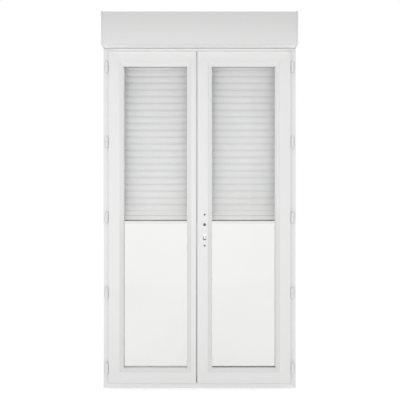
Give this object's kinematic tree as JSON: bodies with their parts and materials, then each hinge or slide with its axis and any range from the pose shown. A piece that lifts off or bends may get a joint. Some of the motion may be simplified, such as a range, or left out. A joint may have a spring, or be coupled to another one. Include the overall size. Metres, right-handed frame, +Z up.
{
  "type": "french doors",
  "caption": "White two-leaf French door in its frame, hinged inwards, with double glazing, rack-driven lock rods and a roller shutter in a box over the head.",
  "frame": {"origin": "middle of the sill's underside, half way through the frame's depth", "axes": "+X to the right as seen from the room, +Y to the outside, +Z up"},
  "size_m": [1.216, 0.2295, 2.3545],
  "materials": {
    "white_profile": "smooth white, slightly satin",
    "white_hinge": "white, satin",
    "box_plastic": "smooth white, matt",
    "slat_plastic": "pale grey, matt",
    "rail_aluminium": "white, powder coated",
    "glass": "clear",
    "spacer_metal": "satin",
    "grey_seal": "soft, matt",
    "galvanised_steel": "galvanised",
    "lock_steel": "zinc plated",
    "motor_metal": "grey, satin",
    "black_plastic": "moulded, matt"
  },
  "bodies": {
    "frame": {"frame_head": "white_profile", "frame_sill": "white_profile", "frame_jamb_left": "white_profile", "frame_jamb_right": "white_profile", "frame_seal": "grey_seal", "frame_reinforcements": "galvanised_steel", "keep_plates": "lock_steel", "left_frame_knuckles": "white_hinge", "right_frame_knuckles": "white_hinge", "left_hinge_pins": "white_hinge", "right_hinge_pins": "white_hinge", "box_front_panel": "box_plastic", "box_top_panel": "box_plastic", "box_back_panel": "box_plastic", "box_hatch": "box_plastic", "box_base_strip": "box_plastic", "box_end_cap_left": "box_plastic", "box_end_cap_right": "box_plastic", "guide_rail_left": "rail_aluminium", "guide_rail_right": "rail_aluminium", "tubular_motor": "motor_metal", "tube_brackets": "lock_steel"},
    "shutter": {"shutter_slats": "slat_plastic", "bottom_bar": "rail_aluminium", "bottom_bar_seal": "grey_seal", "bar_stops": "black_plastic"},
    "winder": {"winding_tube": "galvanised_steel", "wound_slats": "slat_plastic", "tube_crown": "black_plastic", "drive_wheel": "black_plastic", "idler_plug": "black_plastic"},
    "lock_pinion": {"lock_pinion": "lock_steel"},
    "lock_top_rod": {"lock_top_rod": "lock_steel"},
    "lock_bottom_rod": {"lock_bottom_rod": "lock_steel"},
    "top_bolt": {"top_flush_bolt": "lock_steel"},
    "bottom_bolt": {"bottom_flush_bolt": "lock_steel"},
    "left_leaf": {"left_hinge_stile": "white_profile", "left_meeting_stile": "white_profile", "left_top_rail": "white_profile", "left_bottom_rail": "white_profile", "left_glazing_beads": "white_profile", "left_glass_panes": "glass", "left_glass_spacer": "spacer_metal", "left_glazing_seals": "grey_seal", "left_reinforcements": "galvanised_steel", "left_meeting_seal": "grey_seal", "left_leaf_knuckles": "white_hinge", "flush_bolt_housings": "lock_steel"},
    "right_leaf": {"right_hinge_stile": "white_profile", "right_meeting_stile": "white_profile", "right_top_rail": "white_profile", "right_bottom_rail": "white_profile", "right_glazing_beads": "white_profile", "right_glass_panes": "glass", "right_glass_spacer": "spacer_metal", "right_glazing_seals": "grey_seal", "right_reinforcements": "galvanised_steel", "right_meeting_seal": "grey_seal", "right_leaf_knuckles": "white_hinge", "lock_case": "lock_steel"}
  },
  "joints": [
    {"name": "left_leaf_hinge", "type": "hinge", "parent": "frame", "child": "left_leaf", "pos_m": [-0.5855, -0.05, 1.079], "axis": [0, 0, -1], "range_deg": [0, 100]},
    {"name": "right_leaf_hinge", "type": "hinge", "parent": "frame", "child": "right_leaf", "pos_m": [0.5855, -0.05, 1.079], "axis": [0, 0, 1], "range_deg": [0, 100]},
    {"name": "top_rod_slide", "type": "slide", "parent": "right_leaf", "child": "lock_top_rod", "axis": [0, 0, 1], "range_m": [0, 0.015]},
    {"name": "bottom_rod_slide", "type": "slide", "parent": "right_leaf", "child": "lock_bottom_rod", "axis": [0, 0, -1], "range_m": [0, 0.015]},
    {"name": "pinion_turn", "type": "hinge", "parent": "right_leaf", "child": "lock_pinion", "pos_m": [0.032, -0.016, 1.035], "axis": [0, 1, 0], "range_deg": [0, 90]},
    {"name": "top_bolt_slide", "type": "slide", "parent": "left_leaf", "child": "top_bolt", "axis": [0, 0, 1], "range_m": [0, 0.015]},
    {"name": "bottom_bolt_slide", "type": "slide", "parent": "left_leaf", "child": "bottom_bolt", "axis": [0, 0, -1], "range_m": [0, 0.015]},
    {"name": "shutter_slide", "type": "slide", "parent": "frame", "child": "shutter", "axis": [0, 0, 1], "range_m": [-1.05, 1.02], "deforming": ["shutter_slats"]},
    {"name": "tube_spin", "type": "hinge", "parent": "frame", "child": "winder", "pos_m": [0, -0.01222, 2.2585], "axis": [1, 0, 0], "range_deg": [-960, 960]}
  ],
  "couplings": [
    {"joint": "bottom_rod_slide", "follows": "top_rod_slide", "ratio": 1},
    {"joint": "pinion_turn", "follows": "top_rod_slide", "rad_per_m": 104.72},
    {"joint": "tube_spin", "follows": "shutter_slide", "rad_per_m": 15.523}
  ]
}
